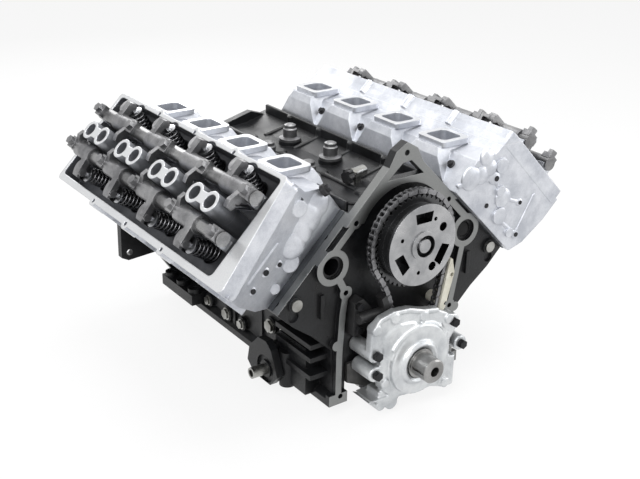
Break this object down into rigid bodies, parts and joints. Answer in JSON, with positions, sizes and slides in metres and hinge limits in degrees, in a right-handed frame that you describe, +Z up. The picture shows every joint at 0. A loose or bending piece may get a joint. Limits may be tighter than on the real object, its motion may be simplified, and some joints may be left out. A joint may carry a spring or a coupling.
{
  "type": "v8 engine long block",
  "caption": "Complete ninety-degree V engine long block with open rocker pockets, timing drive, crank train and pushrod valve gear.",
  "frame": {"origin": "centre of the crankshaft's rear flange face, at the mouth of its pilot bore", "axes": "+Y along the crank towards the flywheel end, +Z up between the banks, +X towards the left bank"},
  "size_m": [0.666, 0.6194, 0.419],
  "materials": {
    "block_iron": "semi-gloss black paint on cast iron",
    "cap_iron": "bare cast",
    "black_steel": "black oxide",
    "bearing_metal": "plain bearing shell",
    "crank_steel": "machined steel",
    "dark_steel": "dark phosphated steel",
    "piston_alloy": "machined alloy",
    "forged_steel": "forged",
    "bright_steel": "ground",
    "cast_aluminium": "sand cast",
    "gasket_steel": "coated sheet",
    "spring_steel": "dark spring wire",
    "ivory_plastic": "ivory nylon",
    "black_plastic": "black nylon",
    "plated_steel": "zinc plated"
  },
  "bodies": {
    "engine": {"block_fittings": "plated_steel", "chain_guide": "ivory_plastic", "chain_tensioner": "black_plastic", "connecting_rods": "forged_steel", "cylinder_block": "block_iron", "front_bolts": "black_steel", "head_bolts": "black_steel", "head_gaskets": "gasket_steel", "left_cylinder_head": "cast_aluminium", "main_bearing_caps": "cap_iron", "main_bearings": "bearing_metal", "main_cap_bolts": "black_steel", "oil_pump_housing": "cast_aluminium", "pistons": "piston_alloy", "pushrods": "bright_steel", "right_cylinder_head": "cast_aluminium", "rocker_shaft_bolts": "dark_steel", "rocker_shafts": "dark_steel", "timing_chain": "dark_steel", "valley_solenoids": "black_plastic", "valve_lifters": "bright_steel", "valve_springs": "spring_steel"},
    "crank": {"crankshaft": "crank_steel", "crank_sprocket": "dark_steel", "pump_inner_rotor": "bright_steel"},
    "cam": {"camshaft": "crank_steel", "cam_phaser": "bright_steel"},
    "pump_ring": {"pump_outer_rotor": "bright_steel"},
    "left_intake_rocker_1": {"left_intake_rocker_1": "dark_steel"},
    "left_intake_valve_1": {"left_intake_valve_1": "bright_steel"},
    "left_exhaust_rocker_1": {"left_exhaust_rocker_1": "dark_steel"},
    "left_exhaust_valve_1": {"left_exhaust_valve_1": "bright_steel"},
    "left_intake_rocker_2": {"left_intake_rocker_2": "dark_steel"},
    "left_intake_valve_2": {"left_intake_valve_2": "bright_steel"},
    "left_exhaust_rocker_2": {"left_exhaust_rocker_2": "dark_steel"},
    "left_exhaust_valve_2": {"left_exhaust_valve_2": "bright_steel"},
    "left_intake_rocker_3": {"left_intake_rocker_3": "dark_steel"},
    "left_intake_valve_3": {"left_intake_valve_3": "bright_steel"},
    "left_exhaust_rocker_3": {"left_exhaust_rocker_3": "dark_steel"},
    "left_exhaust_valve_3": {"left_exhaust_valve_3": "bright_steel"},
    "left_intake_rocker_4": {"left_intake_rocker_4": "dark_steel"},
    "left_intake_valve_4": {"left_intake_valve_4": "bright_steel"},
    "left_exhaust_rocker_4": {"left_exhaust_rocker_4": "dark_steel"},
    "left_exhaust_valve_4": {"left_exhaust_valve_4": "bright_steel"},
    "right_intake_rocker_1": {"right_intake_rocker_1": "dark_steel"},
    "right_intake_valve_1": {"right_intake_valve_1": "bright_steel"},
    "right_exhaust_rocker_1": {"right_exhaust_rocker_1": "dark_steel"},
    "right_exhaust_valve_1": {"right_exhaust_valve_1": "bright_steel"},
    "right_intake_rocker_2": {"right_intake_rocker_2": "dark_steel"},
    "right_intake_valve_2": {"right_intake_valve_2": "bright_steel"},
    "right_exhaust_rocker_2": {"right_exhaust_rocker_2": "dark_steel"},
    "right_exhaust_valve_2": {"right_exhaust_valve_2": "bright_steel"},
    "right_intake_rocker_3": {"right_intake_rocker_3": "dark_steel"},
    "right_intake_valve_3": {"right_intake_valve_3": "bright_steel"},
    "right_exhaust_rocker_3": {"right_exhaust_rocker_3": "dark_steel"},
    "right_exhaust_valve_3": {"right_exhaust_valve_3": "bright_steel"},
    "right_intake_rocker_4": {"right_intake_rocker_4": "dark_steel"},
    "right_intake_valve_4": {"right_intake_valve_4": "bright_steel"},
    "right_exhaust_rocker_4": {"right_exhaust_rocker_4": "dark_steel"},
    "right_exhaust_valve_4": {"right_exhaust_valve_4": "bright_steel"}
  },
  "joints": [
    {"name": "crank_turn", "type": "hinge", "parent": "engine", "child": "crank", "pos_m": [0, -0.2652, 0], "axis": [0, 1, 0], "continuous": true, "deforming": ["connecting_rods", "timing_chain"]},
    {"name": "cam_turn", "type": "hinge", "parent": "engine", "child": "cam", "pos_m": [0, -0.2652, 0.1904], "axis": [0, 1, 0], "continuous": true},
    {"name": "pump_ring_turn", "type": "hinge", "parent": "engine", "child": "pump_ring", "pos_m": [0.0034, -0.57239, 0], "axis": [0, 1, 0], "continuous": true},
    {"name": "left_intake_rocker_1_rock", "type": "hinge", "parent": "engine", "child": "left_intake_rocker_1", "pos_m": [0.24466, -0.47209, 0.29416], "axis": [0, -1, 0], "range_deg": [0, 18.9], "stiffness_Nm_per_rad": 12, "springref_deg": -2.86, "deforming": ["valve_springs"]},
    {"name": "left_intake_valve_1_lift", "type": "slide", "parent": "engine", "child": "left_intake_valve_1", "axis": [-0.454, 0, -0.891], "range_m": [0, 0.01]},
    {"name": "left_exhaust_rocker_1_rock", "type": "hinge", "parent": "engine", "child": "left_exhaust_rocker_1", "pos_m": [0.29698, -0.47209, 0.24749], "axis": [0, 1, 0], "range_deg": [0, 17.5], "stiffness_Nm_per_rad": 12, "springref_deg": -2.86, "deforming": ["valve_springs"]},
    {"name": "left_exhaust_valve_1_lift", "type": "slide", "parent": "engine", "child": "left_exhaust_valve_1", "axis": [-0.8788, 0, -0.4772], "range_m": [0, 0.01]},
    {"name": "left_intake_rocker_2_rock", "type": "hinge", "parent": "engine", "child": "left_intake_rocker_2", "pos_m": [0.24466, -0.35881, 0.29416], "axis": [0, -1, 0], "range_deg": [0, 18.9], "stiffness_Nm_per_rad": 12, "springref_deg": -2.86, "deforming": ["valve_springs"]},
    {"name": "left_intake_valve_2_lift", "type": "slide", "parent": "engine", "child": "left_intake_valve_2", "axis": [-0.454, 0, -0.891], "range_m": [0, 0.01]},
    {"name": "left_exhaust_rocker_2_rock", "type": "hinge", "parent": "engine", "child": "left_exhaust_rocker_2", "pos_m": [0.29698, -0.35881, 0.24749], "axis": [0, 1, 0], "range_deg": [0, 17.5], "stiffness_Nm_per_rad": 12, "springref_deg": -2.86, "deforming": ["valve_springs"]},
    {"name": "left_exhaust_valve_2_lift", "type": "slide", "parent": "engine", "child": "left_exhaust_valve_2", "axis": [-0.8788, 0, -0.4772], "range_m": [0, 0.01]},
    {"name": "left_intake_rocker_3_rock", "type": "hinge", "parent": "engine", "child": "left_intake_rocker_3", "pos_m": [0.24466, -0.24553, 0.29416], "axis": [0, -1, 0], "range_deg": [0, 18.9], "stiffness_Nm_per_rad": 12, "springref_deg": -2.86, "deforming": ["valve_springs"]},
    {"name": "left_intake_valve_3_lift", "type": "slide", "parent": "engine", "child": "left_intake_valve_3", "axis": [-0.454, 0, -0.891], "range_m": [0, 0.01]},
    {"name": "left_exhaust_rocker_3_rock", "type": "hinge", "parent": "engine", "child": "left_exhaust_rocker_3", "pos_m": [0.29698, -0.24553, 0.24749], "axis": [0, 1, 0], "range_deg": [0, 17.5], "stiffness_Nm_per_rad": 12, "springref_deg": -2.86, "deforming": ["valve_springs"]},
    {"name": "left_exhaust_valve_3_lift", "type": "slide", "parent": "engine", "child": "left_exhaust_valve_3", "axis": [-0.8788, 0, -0.4772], "range_m": [0, 0.01]},
    {"name": "left_intake_rocker_4_rock", "type": "hinge", "parent": "engine", "child": "left_intake_rocker_4", "pos_m": [0.24466, -0.13225, 0.29416], "axis": [0, -1, 0], "range_deg": [0, 18.9], "stiffness_Nm_per_rad": 12, "springref_deg": -2.86, "deforming": ["valve_springs"]},
    {"name": "left_intake_valve_4_lift", "type": "slide", "parent": "engine", "child": "left_intake_valve_4", "axis": [-0.454, 0, -0.891], "range_m": [0, 0.01]},
    {"name": "left_exhaust_rocker_4_rock", "type": "hinge", "parent": "engine", "child": "left_exhaust_rocker_4", "pos_m": [0.29698, -0.13225, 0.24749], "axis": [0, 1, 0], "range_deg": [0, 17.5], "stiffness_Nm_per_rad": 12, "springref_deg": -2.86, "deforming": ["valve_springs"]},
    {"name": "left_exhaust_valve_4_lift", "type": "slide", "parent": "engine", "child": "left_exhaust_valve_4", "axis": [-0.8788, 0, -0.4772], "range_m": [0, 0.01]},
    {"name": "right_intake_rocker_1_rock", "type": "hinge", "parent": "engine", "child": "right_intake_rocker_1", "pos_m": [-0.24466, -0.44684, 0.29416], "axis": [0, 1, 0], "range_deg": [0, 18.9], "stiffness_Nm_per_rad": 12, "springref_deg": -2.86, "deforming": ["valve_springs"]},
    {"name": "right_intake_valve_1_lift", "type": "slide", "parent": "engine", "child": "right_intake_valve_1", "axis": [0.454, 0, -0.891], "range_m": [0, 0.01]},
    {"name": "right_exhaust_rocker_1_rock", "type": "hinge", "parent": "engine", "child": "right_exhaust_rocker_1", "pos_m": [-0.29698, -0.44684, 0.24749], "axis": [0, -1, 0], "range_deg": [0, 17.5], "stiffness_Nm_per_rad": 12, "springref_deg": -2.86, "deforming": ["valve_springs"]},
    {"name": "right_exhaust_valve_1_lift", "type": "slide", "parent": "engine", "child": "right_exhaust_valve_1", "axis": [0.8788, 0, -0.4772], "range_m": [0, 0.01]},
    {"name": "right_intake_rocker_2_rock", "type": "hinge", "parent": "engine", "child": "right_intake_rocker_2", "pos_m": [-0.24466, -0.33356, 0.29416], "axis": [0, 1, 0], "range_deg": [0, 18.9], "stiffness_Nm_per_rad": 12, "springref_deg": -2.86, "deforming": ["valve_springs"]},
    {"name": "right_intake_valve_2_lift", "type": "slide", "parent": "engine", "child": "right_intake_valve_2", "axis": [0.454, 0, -0.891], "range_m": [0, 0.01]},
    {"name": "right_exhaust_rocker_2_rock", "type": "hinge", "parent": "engine", "child": "right_exhaust_rocker_2", "pos_m": [-0.29698, -0.33356, 0.24749], "axis": [0, -1, 0], "range_deg": [0, 17.5], "stiffness_Nm_per_rad": 12, "springref_deg": -2.86, "deforming": ["valve_springs"]},
    {"name": "right_exhaust_valve_2_lift", "type": "slide", "parent": "engine", "child": "right_exhaust_valve_2", "axis": [0.8788, 0, -0.4772], "range_m": [0, 0.01]},
    {"name": "right_intake_rocker_3_rock", "type": "hinge", "parent": "engine", "child": "right_intake_rocker_3", "pos_m": [-0.24466, -0.22028, 0.29416], "axis": [0, 1, 0], "range_deg": [0, 18.9], "stiffness_Nm_per_rad": 12, "springref_deg": -2.86, "deforming": ["valve_springs"]},
    {"name": "right_intake_valve_3_lift", "type": "slide", "parent": "engine", "child": "right_intake_valve_3", "axis": [0.454, 0, -0.891], "range_m": [0, 0.01]},
    {"name": "right_exhaust_rocker_3_rock", "type": "hinge", "parent": "engine", "child": "right_exhaust_rocker_3", "pos_m": [-0.29698, -0.22028, 0.24749], "axis": [0, -1, 0], "range_deg": [0, 17.5], "stiffness_Nm_per_rad": 12, "springref_deg": -2.86, "deforming": ["valve_springs"]},
    {"name": "right_exhaust_valve_3_lift", "type": "slide", "parent": "engine", "child": "right_exhaust_valve_3", "axis": [0.8788, 0, -0.4772], "range_m": [0, 0.01]},
    {"name": "right_intake_rocker_4_rock", "type": "hinge", "parent": "engine", "child": "right_intake_rocker_4", "pos_m": [-0.24466, -0.107, 0.29416], "axis": [0, 1, 0], "range_deg": [0, 18.9], "stiffness_Nm_per_rad": 12, "springref_deg": -2.86, "deforming": ["valve_springs"]},
    {"name": "right_intake_valve_4_lift", "type": "slide", "parent": "engine", "child": "right_intake_valve_4", "axis": [0.454, 0, -0.891], "range_m": [0, 0.01]},
    {"name": "right_exhaust_rocker_4_rock", "type": "hinge", "parent": "engine", "child": "right_exhaust_rocker_4", "pos_m": [-0.29698, -0.107, 0.24749], "axis": [0, -1, 0], "range_deg": [0, 17.5], "stiffness_Nm_per_rad": 12, "springref_deg": -2.86, "deforming": ["valve_springs"]},
    {"name": "right_exhaust_valve_4_lift", "type": "slide", "parent": "engine", "child": "right_exhaust_valve_4", "axis": [0.8788, 0, -0.4772], "range_m": [0, 0.01]}
  ],
  "couplings": [
    {"joint": "cam_turn", "follows": "crank_turn", "ratio": 0.5},
    {"joint": "pump_ring_turn", "follows": "crank_turn", "ratio": 0.88889},
    {"joint": "left_intake_valve_1_lift", "follows": "left_intake_rocker_1_rock", "m_per_rad": 0.029964},
    {"joint": "left_exhaust_valve_1_lift", "follows": "left_exhaust_rocker_1_rock", "m_per_rad": 0.032456},
    {"joint": "left_intake_valve_2_lift", "follows": "left_intake_rocker_2_rock", "m_per_rad": 0.029964},
    {"joint": "left_exhaust_valve_2_lift", "follows": "left_exhaust_rocker_2_rock", "m_per_rad": 0.032456},
    {"joint": "left_intake_valve_3_lift", "follows": "left_intake_rocker_3_rock", "m_per_rad": 0.029964},
    {"joint": "left_exhaust_valve_3_lift", "follows": "left_exhaust_rocker_3_rock", "m_per_rad": 0.032456},
    {"joint": "left_intake_valve_4_lift", "follows": "left_intake_rocker_4_rock", "m_per_rad": 0.029964},
    {"joint": "left_exhaust_valve_4_lift", "follows": "left_exhaust_rocker_4_rock", "m_per_rad": 0.032456},
    {"joint": "right_intake_valve_1_lift", "follows": "right_intake_rocker_1_rock", "m_per_rad": 0.029964},
    {"joint": "right_exhaust_valve_1_lift", "follows": "right_exhaust_rocker_1_rock", "m_per_rad": 0.032456},
    {"joint": "right_intake_valve_2_lift", "follows": "right_intake_rocker_2_rock", "m_per_rad": 0.029964},
    {"joint": "right_exhaust_valve_2_lift", "follows": "right_exhaust_rocker_2_rock", "m_per_rad": 0.032456},
    {"joint": "right_intake_valve_3_lift", "follows": "right_intake_rocker_3_rock", "m_per_rad": 0.029964},
    {"joint": "right_exhaust_valve_3_lift", "follows": "right_exhaust_rocker_3_rock", "m_per_rad": 0.032456},
    {"joint": "right_intake_valve_4_lift", "follows": "right_intake_rocker_4_rock", "m_per_rad": 0.029964},
    {"joint": "right_exhaust_valve_4_lift", "follows": "right_exhaust_rocker_4_rock", "m_per_rad": 0.032456}
  ]
}
